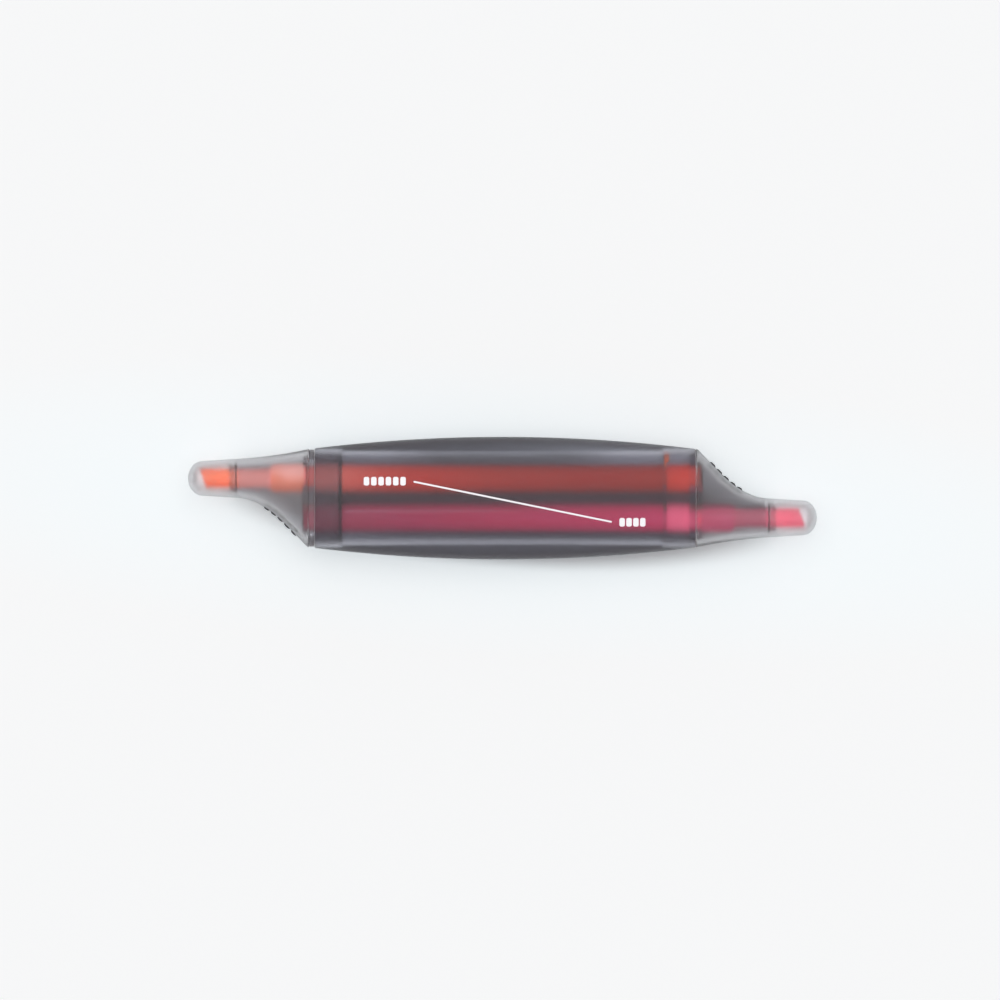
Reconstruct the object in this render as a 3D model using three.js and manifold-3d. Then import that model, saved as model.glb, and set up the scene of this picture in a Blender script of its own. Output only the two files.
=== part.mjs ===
// A flat twin-colour highlighter lying on its side: two wrapped ink rods side by side in one
// smoked barrel, an orange chisel nib at the -X end and a pink one at the +X end, each under its
// own pull-off cap. Millimetres, +Z up. The origin is on the table, under the middle of the pen.
// Both ends are alike, half a turn apart, so every end piece is made once, for the +X end, with
// its nose on the -Y side.
import * as THREE from "three";
import { mergeVertices } from "three/addons/utils/BufferGeometryUtils.js";
import Module from "manifold-3d";

const wasm = await Module();
wasm.setup();

// ---- Driving dimensions -------------------------------------------------------------------

// Ink rods
const reservoirDiameter = 6.5; // over the film
const reservoirGap = 2.3; // between the two films
const filmWall = 0.1;
const filmFit = 0.1; // between a film and its fibre core
const rodEndGap = 0.3; // between a rod's end and the bottom of its socket

// Barrel
const bodyLength = 86; // from one cap rim to the other
const sideRoom = 3.3; // from a film to the barrel's side, at the rims
const coverRoom = 2.65; // from a film to the barrel's top, at the rims
const widthRise = 2.7; // how far each side swells out half-way along
const heightRise = 0.5; // how far the top and the underside swell out
const footFlat = 0.1; // taken off the underside, so that the pen doesn't rock
const barrelEndWall = 0.9; // round the plugs
const boreStep = 0.4; // from the wide end bores in to the main bore
const endBoreDepth = 7.4; // from a cap rim to the step that a rod guide rests on

// Plugs and noses
const flangeThickness = 1;
const flangeInset = 0.15; // the flange's edge lies this much under the barrel's surface
const seamGap = 0.15; // between the flange and the barrel
const plugFit = 0.12; // round whatever is pressed into the barrel's end bores
const skirtWall = 0.8;
const plugWall = 1.5; // the end wall, from its inner face to the cap rim
const collarReach = 1.4; // how far the cap's seat stands out past the rim
const collarRound = 0.5;
const neckReach = 8.3; // from the rim to the step down to the nose
const neckStep = 0.4; // how much the neck's radius is over the nose's
const noseLength = 9.4; // from that step to the nose's front
const noseWall = 0.675; // round the nib's bore
const noseRound = 0.6;
const socketFit = 0.15; // round a rod in a socket or a guide
const socketDepth = 2.45; // into the plug, from the end wall's inner face
const guideThickness = 0.7;
const guideGap = 0.06; // between a guide and what holds it on either side

// Nibs
const nibDiameter = 4.25;
const nibReach = 6.7; // from the nose's front to the longest point
const nibSlant = 0.36; // how far the writing edge runs back per millimetre across
const nibRidge = 1.9; // half the thickness at the ridge, at the nose
const nibSide = 1.15; // half the thickness at the sides, at the nose
const nibEdgeRidge = 0.85; // the same two at the writing edge
const nibEdgeSide = 0.5;
const shankFit = 0.1; // round the nib in the nose's bore
const shankDip = 5; // how far the nib goes into the fibre core

// Caps and their liners
const capGap = 0.1; // between a cap's rim and the body
const capWall = 1.3; // at the rim
const tipWall = 0.8; // round the nib chamber
const seatFit = 0.15; // between the collar and the cap
const cornerLength = 0.8; // the rounded corner where the flank leaves the rim
const flankStraight = 4.5; // the straight stretch of the flank after it
const tipTaper = 0.06; // how much the tip's radius loses per millimetre
const domeLength = 3.3;
const linerWall = 0.45;
const linerGap = 0.1; // between the liner and the cap
const linerFit = 0.1; // between the liner and the nose
const linerOverlap = 1.7; // how far back over the nose the liner reaches
const linerLead = 0.4; // how far in front of the nose it stays straight
const linerTaper = 0.07;
const nibRoom = 1.25; // in front of the nib

// Smoothness
const OVAL_STEPS = 32;
const ROUND_STEPS = 24;
const BARREL_STATIONS = 12;
const HOLLOW_STATIONS = 6; // along the flank's hollow curve
const DOME_STATIONS = 4;
const EDGE_STEPS = 3; // round the nose's front edge

// ---- Sizes that follow from them ----------------------------------------------------------

const rim = bodyLength / 2;
const reservoirRadius = reservoirDiameter / 2;
const channelY = -(reservoirDiameter + reservoirGap) / 2; // the nose's axis
const endHalfWidth = -channelY + reservoirRadius + sideRoom;
const endHalfHeight = reservoirRadius + coverRoom;
const restHeight = endHalfHeight + heightRise - footFlat; // the axis above the table

const bodyFace = rim - capGap / 2;
const capFace = rim + capGap / 2;
const wallFace = rim - plugWall;
const socketFloor = wallFace + socketDepth;
const collarEnd = rim + collarReach;
const neckEnd = rim + neckReach;
const noseEnd = neckEnd + noseLength;
const nibEnd = noseEnd + nibReach;
const boreStepX = rim - endBoreDepth;
const rodEnd = socketFloor - rodEndGap;
const shankEnd = rodEnd - shankDip;

const endBore = { halfWidth: endHalfWidth - barrelEndWall, halfHeight: endHalfHeight - barrelEndWall };
const mainBore = { halfWidth: endBore.halfWidth - boreStep, halfHeight: endBore.halfHeight - boreStep };

const nibRadius = nibDiameter / 2;
const boreRadius = nibRadius + shankFit;
const noseRadius = boreRadius + noseWall;
const neckRadius = noseRadius + neckStep;
const linerMouth = noseEnd - linerOverlap;
const linerStraight = linerOverlap + linerLead; // the stretch that seals round the nose
const shoulderReach = linerMouth - rim; // from the rim to the round nib chamber
const linerRadius = noseRadius + linerFit; // inside
const chamberRadius = linerRadius + linerWall + linerGap; // the cap's bore round the liner
const tipRadius = chamberRadius + tipWall;
const linerApex = nibEnd + nibRoom;
const chamberApex = linerApex + linerWall + linerGap;
const capTip = chamberApex + tipWall;
const domeStart = capTip - domeLength;

// ---- Outlines -----------------------------------------------------------------------------

// How far a swelling side stands out at x, as an arc over the chord between the two rims.
function arch(x, rise) {
  const radius = (rim * rim + rise * rise) / (2 * rise);
  return Math.sqrt(radius * radius - x * x) - radius + rise;
}

// A stretch of an edge whose slope changes evenly.
function stretch(length, from, to) {
  return { length, from, to };
}

// How far an edge has come in after a distance along its stretches.
function cameIn(stretches, distance) {
  let total = 0;
  for (const { length, from, to } of stretches) {
    const run = Math.min(Math.max(distance, 0), length);
    total += run * (from + ((to - from) * run) / (2 * length));
    distance -= length;
  }
  return total;
}

// The slope of an edge after a distance along its stretches.
function slopeAt(stretches, distance) {
  for (const { length, from, to } of stretches) {
    if (distance <= length) return from + ((to - from) * Math.max(distance, 0)) / length;
    distance -= length;
  }
  return stretches.at(-1).to;
}

// One even curve from the rim to the nib chamber, that ends at the tip's taper.
function shoulder(startAt, endAt) {
  const startSlope = (2 * (startAt - endAt)) / shoulderReach - tipTaper;
  return stretch(shoulderReach, startSlope, tipTaper);
}

const tipLength = domeStart - linerMouth;
const tipStretch = stretch(tipLength, tipTaper, tipTaper);
const outerEdge = [shoulder(endHalfWidth, tipRadius - channelY), tipStretch];
const heightEdge = [shoulder(endHalfHeight, tipRadius), tipStretch];

// The flank: a rounded corner, a straight slope, then a hollow curve into the round tip.
const hollowLength = shoulderReach - cornerLength - flankStraight;
const flankDrop = endHalfWidth - (tipRadius + channelY);
const flankSlope =
  (flankDrop - (tipTaper * hollowLength) / 2) / (cornerLength / 2 + flankStraight + hollowLength / 2);
const flankEdge = [
  stretch(cornerLength, 0, flankSlope),
  stretch(flankStraight, flankSlope, flankSlope),
  stretch(hollowLength, flankSlope, tipTaper),
  tipStretch,
];

// The cap's outline at a distance from the rim: its low and high sides, and its half-height.
function capOutline(distance) {
  return {
    low: -endHalfWidth + cameIn(outerEdge, distance),
    high: endHalfWidth - cameIn(flankEdge, distance),
    halfHeight: endHalfHeight - cameIn(heightEdge, distance),
  };
}

// The hollow inside it. The wall is measured square to each side, and thins towards the tip.
// Behind the flank's rounded corner the wall's inner side runs on straight to the rim.
function capHollow(distance) {
  const outline = capOutline(distance);
  const along = Math.min(distance / shoulderReach, 1);
  const wall = capWall + (tipWall - capWall) * along * along;
  const pastCorner = Math.max(distance, cornerLength);
  const flankWall = wall * Math.hypot(1, slopeAt(flankEdge, pastCorner));
  return {
    low: outline.low + wall * Math.hypot(1, slopeAt(outerEdge, distance)),
    high: capOutline(pastCorner).high + flankSlope * (pastCorner - distance) - flankWall,
    halfHeight: outline.halfHeight - wall,
  };
}

// ---- Solids -------------------------------------------------------------------------------

// An oval ring of points across the pen at x.
function oval(x, low, high, halfHeight) {
  const curve = new THREE.EllipseCurve((low + high) / 2, 0, (high - low) / 2, halfHeight);
  return curve
    .getPoints(OVAL_STEPS)
    .slice(1)
    .map((point) => new THREE.Vector3(x, point.x, point.y));
}

function ovalOf(x, { low, high, halfHeight }, inset = 0) {
  return oval(x, low + inset, high - inset, halfHeight - inset);
}

function middleOf(points) {
  const sum = points.reduce((total, point) => total.add(point), new THREE.Vector3());
  return sum.divideScalar(points.length);
}

// A closed solid through rings that have the same number of points, with a fan at either end.
// The rings run towards +X along an outer surface and towards -X along a hollow.
function loft(rings, startPoint = middleOf(rings[0]), endPoint = middleOf(rings.at(-1))) {
  const count = rings[0].length;
  const points = [...rings.flat(), startPoint, endPoint];
  const start = points.length - 2;
  const end = points.length - 1;
  const lastRing = (rings.length - 1) * count;
  const index = [];
  for (let i = 0; i < count; i++) {
    const j = (i + 1) % count;
    index.push(start, j, i);
    for (let ring = 0; ring < lastRing; ring += count) {
      index.push(ring + i, ring + j, ring + count + i);
      index.push(ring + j, ring + count + j, ring + count + i);
    }
    index.push(lastRing + i, lastRing + j, end);
  }
  return new THREE.BufferGeometry().setFromPoints(points).setIndex(index);
}

// A straight oval prism between two places along the pen.
function ovalBar(from, to, { halfWidth, halfHeight }, inset = 0) {
  const across = halfWidth - inset;
  const up = halfHeight - inset;
  return loft([oval(from, -across, across, up), oval(to, -across, across, up)]);
}

// A turned solid on the nose's axis. The profile is a list of [radius, x], followed with the
// material on its left.
function turned(profile) {
  const points = profile.map(([radius, x]) => new THREE.Vector2(radius, x));
  const geometry = new THREE.LatheGeometry(points, ROUND_STEPS);
  return geometry.rotateZ(-Math.PI / 2).translate(0, channelY, 0);
}

function rod(from, to, radius) {
  return turned([[0, from], [radius, from], [radius, to], [0, to]]);
}

// A rounded edge, as [radius, x], from its widest point to its front.
function turnedRound(centreX, centreRadius, round) {
  return Array.from({ length: EDGE_STEPS + 1 }, (_, i) => {
    const angle = (i / EDGE_STEPS) * (Math.PI / 2);
    return [centreRadius + round * Math.cos(angle), centreX + round * Math.sin(angle)];
  });
}

// A quarter-ellipse in from a radius to the axis, as [radius, x], from its foot to its apex.
function dome(startX, apexX, radius) {
  return Array.from({ length: DOME_STATIONS + 1 }, (_, i) => {
    if (i === DOME_STATIONS) return [0, apexX];
    const angle = (i / DOME_STATIONS) * (Math.PI / 2);
    return [radius * Math.cos(angle), startX + (apexX - startX) * Math.sin(angle)];
  });
}

function solid(geometry) {
  const bare = geometry.clone();
  bare.deleteAttribute("normal");
  bare.deleteAttribute("uv");
  const merged = mergeVertices(bare, 1e-4);
  return new wasm.Manifold(
    new wasm.Mesh({
      numProp: 3,
      vertProperties: merged.attributes.position.array,
      triVerts: new Uint32Array(merged.index.array),
    }),
  );
}

function geometryOf(made) {
  const { vertProperties, triVerts } = made.getMesh();
  const geometry = new THREE.BufferGeometry();
  geometry.setAttribute("position", new THREE.BufferAttribute(vertProperties, 3));
  geometry.setIndex(new THREE.BufferAttribute(triVerts, 1));
  geometry.computeVertexNormals();
  return geometry;
}

// The solids that are joined, less those that are cut away.
function carve(joined, cutAway) {
  const whole = joined.map(solid).reduce((sum, part) => sum.add(part));
  return geometryOf(cutAway.map(solid).reduce((rest, part) => rest.subtract(part), whole));
}

// The room that both ink rods need between two places, with their play.
function rodRoom(from, to) {
  const radius = reservoirRadius + socketFit;
  return [rod(from, to, radius), rod(from, to, radius).translate(0, -2 * channelY, 0)];
}

// ---- Body ---------------------------------------------------------------------------------

const CUT_PAST = 1; // how far a cutting tool runs past what it cuts
const GRIND_PAST = 0.4; // the same for the block that the nib is ground to

// The barrel: a swelling oval tube, open at both ends, with a wider bore at either end.
function barrel() {
  const left = -bodyFace + flangeThickness + seamGap;
  const rings = Array.from({ length: BARREL_STATIONS + 1 }, (_, i) => {
    const x = left + ((bodyFace - left) * i) / BARREL_STATIONS;
    const halfWidth = endHalfWidth + arch(x, widthRise);
    const ring = oval(x, -halfWidth, halfWidth, endHalfHeight + arch(x, heightRise));
    ring.forEach((point) => (point.z = Math.max(point.z, -restHeight)));
    return ring;
  });
  return carve(
    [loft(rings)],
    [
      ovalBar(left - CUT_PAST, bodyFace + CUT_PAST, mainBore),
      ovalBar(left - CUT_PAST, -boreStepX, endBore),
      ovalBar(boreStepX, bodyFace + CUT_PAST, endBore),
    ],
  );
}

// A rod guide: a thin oval plate with a hole for each rod, resting on the bore's step.
function guide() {
  const from = boreStepX + guideGap;
  const to = from + guideThickness;
  return carve([ovalBar(from, to, endBore, plugFit)], rodRoom(from - CUT_PAST, to + CUT_PAST));
}

// The cap's seat: it fills the cap's mouth with a little play, and its front edge is rounded.
function collar() {
  const at = (x, inset = 0) => ovalOf(x, capHollow(Math.max(x - rim, 0)), seatFit + inset);
  const easing = collarRound * (1 - Math.SQRT1_2); // half-way round a quarter circle
  return loft([
    at(rim - plugWall / 2),
    at(rim),
    at(collarEnd - collarRound),
    at(collarEnd - easing, easing),
    at(collarEnd, collarRound),
  ]);
}

// The neck and the nose in front of it, in one turned piece that starts inside the end wall.
function neckAndNose() {
  return turned([
    [0, socketFloor],
    [neckRadius, socketFloor],
    [neckRadius, neckEnd - neckStep],
    [noseRadius, neckEnd],
    ...turnedRound(noseEnd - noseRound, noseRadius - noseRound, noseRound),
    [0, noseEnd],
  ]);
}

// What both plugs share is joined to the pieces given: an end wall with a collar, a neck and a
// nose, cut by two blind sockets that hold the rods' ends and by the bore for the nib's shank.
function plug(extraSolids, extraCuts) {
  return carve(
    [ovalBar(wallFace, bodyFace, endBore, plugFit), collar(), neckAndNose(), ...extraSolids],
    [
      ...extraCuts,
      ...rodRoom(boreStepX, socketFloor),
      rod(wallFace, noseEnd + CUT_PAST, boreRadius),
    ],
  );
}

// The pink end's plug lies flush in the barrel.
function flushPlug() {
  return plug([], []);
}

// The orange end's plug has a flange that shows outside, and a skirt that holds its rod guide.
function flangedPlug() {
  const flangeFrom = bodyFace - flangeThickness;
  const skirtEnd = boreStepX + guideThickness + 2 * guideGap;
  const edge = { halfWidth: endHalfWidth, halfHeight: endHalfHeight };
  const skirtHollow = ovalBar(skirtEnd - CUT_PAST, wallFace, endBore, plugFit + skirtWall);
  return plug(
    [ovalBar(flangeFrom, bodyFace, edge, flangeInset), ovalBar(skirtEnd, bodyFace, endBore, plugFit)],
    [skirtHollow],
  );
}

// ---- Ink ----------------------------------------------------------------------------------

// A fibre rod with a pocket in the end that the nib's shank is pushed into.
function reservoirCore() {
  const radius = reservoirRadius - filmWall - filmFit;
  return turned([
    [0, -rodEnd],
    [radius, -rodEnd],
    [radius, rodEnd],
    [boreRadius, rodEnd],
    [boreRadius, shankEnd - rodEndGap],
    [0, shankEnd - rodEndGap],
  ]);
}

// The film wrapped round it.
function reservoirFilm() {
  const inside = reservoirRadius - filmWall;
  return turned([
    [inside, -rodEnd],
    [reservoirRadius, -rodEnd],
    [reservoirRadius, rodEnd],
    [inside, rodEnd],
    [inside, -rodEnd],
  ]);
}

// A section of the block that the nib's chisel is ground to: a ridged roof above and below. It
// is wider than the rod by an allowance, and runs back from the rod's outer side by the slant.
function chiselSection(x, slant, ridge, side) {
  const half = nibRadius + GRIND_PAST;
  const corners = [[half, side], [0, ridge], [-half, side], [-half, -side], [0, -ridge], [half, -side]];
  return corners.map(
    ([across, up]) => new THREE.Vector3(x - slant * (across + nibRadius), channelY + across, up),
  );
}

// A nib: a round fibre rod whose front is ground to a chisel.
function nib() {
  const whole = nibRadius + GRIND_PAST;
  const block = loft([
    chiselSection(shankEnd - GRIND_PAST, 0, whole, whole),
    chiselSection(noseEnd, 0, whole, whole),
    chiselSection(noseEnd, 0, nibRidge, nibSide),
    chiselSection(nibEnd, nibSlant, nibEdgeRidge, nibEdgeSide),
  ]);
  const blank = rod(shankEnd, nibEnd, nibRadius);
  return geometryOf(solid(blank).intersect(solid(block)));
}

// ---- Caps ---------------------------------------------------------------------------------

// Distances from the rim at which the cap's outline is taken.
function capStations() {
  const hollow = Array.from(
    { length: HOLLOW_STATIONS },
    (_, i) => cornerLength + flankStraight + (hollowLength * (i + 1)) / HOLLOW_STATIONS,
  );
  return [0, cornerLength / 2, cornerLength, cornerLength + flankStraight, ...hollow];
}

function roundRing([radius, x]) {
  return oval(x, channelY - radius, channelY + radius, radius);
}

function apex(x) {
  return new THREE.Vector3(x, channelY, 0);
}

// The cap: from the hollow's apex back to the rim, then forward again over the outside.
function cap() {
  const chamberDome = dome(domeStart, chamberApex, chamberRadius - linerLoss()).slice(0, -1);
  const chamber = [[chamberRadius, linerMouth], [chamberRadius, linerMouth + linerStraight], ...chamberDome];
  const hollowRings = capStations().slice(0, -1).map((s) => ovalOf(s ? rim + s : capFace, capHollow(s)));
  const inside = [...hollowRings, ...chamber.map(roundRing)].reverse();
  const tipDome = dome(domeStart, capTip, tipRadius - tipTaper * tipLength).slice(0, -1);
  const outside = [
    ...capStations().map((s) => ovalOf(s ? rim + s : capFace, capOutline(s))),
    ...tipDome.map(roundRing),
  ];
  return loft([...inside, ...outside], apex(chamberApex), apex(capTip));
}

// How much narrower the liner is where its dome starts than where it seals round the nose.
function linerLoss() {
  return linerTaper * (domeStart - linerMouth - linerStraight);
}

// The liner: a thimble that seals round the nose, so that the nib doesn't dry out.
function liner() {
  const side = (radius) => [
    [radius, linerMouth],
    [radius, linerMouth + linerStraight],
  ];
  const outer = linerRadius + linerWall;
  return turned([
    ...dome(domeStart, linerApex, linerRadius - linerLoss()).reverse(),
    ...side(linerRadius).reverse(),
    ...side(outer),
    ...dome(domeStart, linerApex + linerWall, outer - linerLoss()),
  ]);
}

// ---- Assembly -----------------------------------------------------------------------------

function plastic(color, roughness, opacity = 1) {
  return new THREE.MeshStandardMaterial({
    color,
    roughness,
    metalness: 0,
    opacity,
    transparent: opacity < 1,
  });
}

const smoke = plastic(0x8a878f, 0.4, 0.5);
const milky = plastic(0xd9d6d8, 0.5, 0.5);
const inks = {
  orange: { nib: plastic(0xff8250, 0.8), core: plastic(0xe0563c, 0.9), film: plastic(0xf0a090, 0.25, 0.4) },
  pink: { nib: plastic(0xf56e8c, 0.8), core: plastic(0xd64a74, 0.9), film: plastic(0xf0a0b8, 0.25, 0.4) },
};

function piece(name, geometry, material) {
  const mesh = new THREE.Mesh(geometry, material);
  mesh.name = name;
  return mesh;
}

// Everything at one end that comes in that end's colour.
function end(colour, plugGeometry) {
  const group = new THREE.Group();
  const ink = inks[colour];
  group.add(
    piece(`${colour}_end_plug`, plugGeometry, smoke),
    piece(`${colour}_rod_guide`, guide(), smoke),
    piece(`${colour}_reservoir_core`, reservoirCore(), ink.core),
    piece(`${colour}_reservoir_film`, reservoirFilm(), ink.film),
    piece(`${colour}_nib`, nib(), ink.nib),
    piece(`${colour}_cap`, cap(), smoke),
    piece(`${colour}_cap_liner`, liner(), milky),
  );
  return group;
}

const highlighter = new THREE.Group();
highlighter.position.z = restHeight;

const orangeEnd = end("orange", flangedPlug());
orangeEnd.rotation.z = Math.PI;
highlighter.add(piece("barrel", barrel(), smoke), end("pink", flushPlug()), orangeEnd);

export default highlighter;
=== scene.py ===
# %% [markdown]
# # A highlighter with two inks
#
# This lesson builds the looks of a flat, twin-ended highlighter. Two ink rods lie side by side in
# one smoked barrel, and there is a chisel nib under a cap at either end. Nearly all of it is clear
# plastic, so what you see is made of layers: shells, air gaps, films and wet fibre. The real thing
# is built in those layers, and so is this one. The glass-like shader then does the hard part.
#
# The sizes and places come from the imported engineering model, which is loaded first.

# %% Load the frame
import math
import bmesh
import bpy
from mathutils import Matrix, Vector


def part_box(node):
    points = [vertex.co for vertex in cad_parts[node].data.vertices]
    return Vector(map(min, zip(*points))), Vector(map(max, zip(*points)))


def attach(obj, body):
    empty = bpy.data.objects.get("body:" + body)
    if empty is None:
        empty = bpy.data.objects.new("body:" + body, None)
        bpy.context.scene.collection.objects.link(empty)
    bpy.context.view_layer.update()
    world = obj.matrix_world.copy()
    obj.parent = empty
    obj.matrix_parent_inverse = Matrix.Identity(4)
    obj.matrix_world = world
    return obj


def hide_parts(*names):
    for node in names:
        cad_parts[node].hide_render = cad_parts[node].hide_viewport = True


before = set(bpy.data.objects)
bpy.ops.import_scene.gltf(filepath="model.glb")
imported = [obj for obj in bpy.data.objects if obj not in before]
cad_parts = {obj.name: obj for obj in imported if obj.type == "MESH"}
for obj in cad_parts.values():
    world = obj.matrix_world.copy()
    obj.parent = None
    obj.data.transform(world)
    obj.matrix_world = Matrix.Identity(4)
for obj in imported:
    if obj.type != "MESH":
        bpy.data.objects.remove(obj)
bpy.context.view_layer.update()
print("nodes in the frame:", sorted(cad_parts))

# %% [markdown]
# ## Read the main places off the frame
#
# A part's box gives its lowest and highest corner in metres. It is better to read a place from the
# frame than to type it in, because the pieces then stay together if the model changes. Sizes that
# no box shows, such as a wall's thickness, are given here in millimetres.

# %% Main places
MM = 0.001
barrel_low, barrel_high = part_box("barrel")
pink_core_low, pink_core_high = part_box("pink_reservoir_core")
pink_cap_low, pink_cap_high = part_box("pink_cap")
pink_nib_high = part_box("pink_nib")[1]

rim = (barrel_high.x + pink_cap_low.x) / 2
axis_z = (pink_core_low.z + pink_core_high.z) / 2
channel_y = (pink_core_low.y + pink_core_high.y) / 2
rod_radius = (pink_core_high.y - pink_core_low.y) / 2 + 0.2 * MM
rod_end = pink_core_high.x
nib_end = pink_nib_high.x
cap_tip = pink_cap_high.x
print("rim at", round(rim / MM, 2), "mm, axis", round(axis_z / MM, 2), "mm above the table")

# %% [markdown]
# ## The outlines of barrel and caps
#
# The barrel's sides are shallow arcs. Each edge of a cap is a run of stretches whose slope changes
# evenly, which is how a designer's curve flows from one part of a shape into the next. Adding up
# slope times length gives how far the edge has come in.

# %% Outlines
end_half_width = 10.95 * MM
end_half_height = 5.9 * MM
width_rise = barrel_high.y - end_half_width
height_rise = 0.5 * MM


def arch(x, rise):
    radius = (rim * rim + rise * rise) / (2 * rise)
    return math.sqrt(radius * radius - x * x) - radius + rise


def came_in(stretches, distance):
    total = 0.0
    for length, start, end in stretches:
        run = min(max(distance, 0.0), length)
        total += run * (start + (end - start) * run / (2 * length))
        distance -= length
    return total


def slope_at(stretches, distance):
    for length, start, end in stretches:
        if distance <= length:
            return start + (end - start) * max(distance, 0.0) / length
        distance -= length
    return stretches[-1][2]


shoulder_reach = 16 * MM
tip_taper = 0.06
tip_radius = 4.35 * MM
dome_length = 3.3 * MM
dome_start = cap_tip - dome_length
liner_mouth = rim + shoulder_reach
tip_length = dome_start - liner_mouth
tip_stretch = (tip_length, tip_taper, tip_taper)


def shoulder(start_at, end_at):
    start_slope = 2 * (start_at - end_at) / shoulder_reach - tip_taper
    return (shoulder_reach, start_slope, tip_taper)


corner_length, flank_straight = 0.8 * MM, 4.5 * MM
hollow_length = shoulder_reach - corner_length - flank_straight
flank_drop = end_half_width - (tip_radius + channel_y)
flank_slope = (flank_drop - tip_taper * hollow_length / 2) / (
    corner_length / 2 + flank_straight + hollow_length / 2
)
outer_edge = [shoulder(end_half_width, tip_radius - channel_y), tip_stretch]
height_edge = [shoulder(end_half_height, tip_radius), tip_stretch]
flank_edge = [
    (corner_length, 0.0, flank_slope),
    (flank_straight, flank_slope, flank_slope),
    (hollow_length, flank_slope, tip_taper),
    tip_stretch,
]


def cap_outline(distance):
    low = -end_half_width + came_in(outer_edge, distance)
    high = end_half_width - came_in(flank_edge, distance)
    return low, high, end_half_height - came_in(height_edge, distance)


cap_wall, tip_wall = 1.3 * MM, 0.8 * MM


def cap_hollow(distance):
    low, _, half_height = cap_outline(distance)
    along = min(distance / shoulder_reach, 1.0)
    wall = cap_wall + (tip_wall - cap_wall) * along * along
    past_corner = max(distance, corner_length)
    flank_wall = wall * math.hypot(1, slope_at(flank_edge, past_corner))
    high = cap_outline(past_corner)[1] + flank_slope * (past_corner - distance) - flank_wall
    return low + wall * math.hypot(1, slope_at(outer_edge, distance)), high, half_height - wall


mid_shoulder = [round(v / MM, 2) for v in cap_outline(shoulder_reach / 2)]
print("flank slope", round(flank_slope, 3), "cap at mid shoulder", mid_shoulder)

# %% [markdown]
# ## Lofting
#
# A loft is a skin over a row of rings with the same number of points. Nearly every piece of a pen
# is a loft along its length. An oval ring serves for the flat body and a round one for the noses.
# A tube with a wall is a loft that runs forward on the outside and back on the inside, and closes
# on itself. Rings are plain lists of points, so a whole piece takes a few lines.

# %% Rings and skins
RING_POINTS = 96


def oval(x, low, high, half_height):
    middle, half_width = (low + high) / 2, (high - low) / 2
    angles = [2 * math.pi * i / RING_POINTS for i in range(RING_POINTS)]
    return [
        Vector((x, middle + half_width * math.cos(a), axis_z + half_height * math.sin(a)))
        for a in angles
    ]


def round_ring(x, radius):
    return oval(x, channel_y - radius, channel_y + radius, radius)


def skin(rings, loop=False, start_point=None, end_point=None):
    """Vertices and faces through the rings. A loop joins the last ring to the first."""
    vertices = [point for ring in rings for point in ring]
    count = len(rings[0])
    faces = []
    for k in range(len(rings) if loop else len(rings) - 1):
        here, there = k * count, (k + 1) % len(rings) * count
        for i in range(count):
            j = (i + 1) % count
            faces.append((here + i, here + j, there + j, there + i))
    if not loop:
        last = (len(rings) - 1) * count
        for first, point in ((0, start_point), (last, end_point)):
            loop_points = list(range(first, first + count))
            if point is None:
                faces.append(tuple(loop_points))
                continue
            vertices.append(point)
            tip = len(vertices) - 1
            faces += [(a, b, tip) for a, b in zip(loop_points, loop_points[1:] + loop_points[:1])]
    return vertices, faces


def turned_round_end(points):
    """The same points for the other end of the pen: half a turn about the upright axis."""
    return [Vector((-p.x, -p.y, p.z)) for p in points]


SHARP_ANGLE = math.radians(32)


def build(name, shape, at_orange_end=False):
    vertices, faces = shape
    if at_orange_end:
        vertices = turned_round_end(vertices)
    mesh = bpy.data.meshes.new(name)
    mesh.from_pydata(vertices, [], faces)
    edit = bmesh.new()
    edit.from_mesh(mesh)
    bmesh.ops.recalc_face_normals(edit, faces=edit.faces)
    edit.to_mesh(mesh)
    edit.free()
    mesh.shade_smooth()
    mesh.set_sharp_from_angle(angle=SHARP_ANGLE)
    piece = bpy.data.objects.new(name, mesh)
    bpy.context.scene.collection.objects.link(piece)
    return piece


def finish_piece(piece, material, body, slot, *nodes):
    piece.data.materials.clear()
    piece.data.materials.append(material)
    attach(piece, body)
    if nodes:
        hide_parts(*nodes)
    print(piece.name, "has", len(piece.data.polygons), "faces and rides on", body)
    return piece


# %% [markdown]
# ## Colour and node helpers
#
# Colours are picked on a screen, so they are written as screen hex values. Shaders count in linear
# light, so one function turns them over. A second one adds a node with its settings and its links,
# which keeps each material short enough to read as a list of what it is made of.

# %% Colour and nodes


def linear(hex_colour):
    channels = [int(hex_colour[i : i + 2], 16) / 255 for i in (1, 3, 5)]
    return [c / 12.92 if c <= 0.04045 else ((c + 0.055) / 1.055) ** 2.4 for c in channels] + [1.0]


def add(tree, kind, inputs=(), **settings):
    """Adds a node. Inputs map a socket's name or number to a value or to another node's output."""
    made = tree.nodes.new(kind)
    for key, value in settings.items():
        setattr(made, key, value)
    for socket, value in dict(inputs).items():
        if isinstance(value, bpy.types.NodeSocket):
            tree.links.new(value, made.inputs[socket])
        else:
            made.inputs[socket].default_value = value
    return made


def new_material(name):
    material = bpy.data.materials.new(name)
    material.use_nodes = True
    tree = material.node_tree
    tree.nodes.clear()
    return material, tree, tree.nodes.new("ShaderNodeOutputMaterial")


def place(tree, stretch=(1, 1, 1)):
    """Object coordinates in millimetres, stretched to give a pattern its direction."""
    where = add(tree, "ShaderNodeTexCoord").outputs["Object"]
    scale = tuple(s / MM for s in stretch)
    return add(tree, "ShaderNodeMapping", {0: where, "Scale": scale}).outputs[0]
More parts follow.
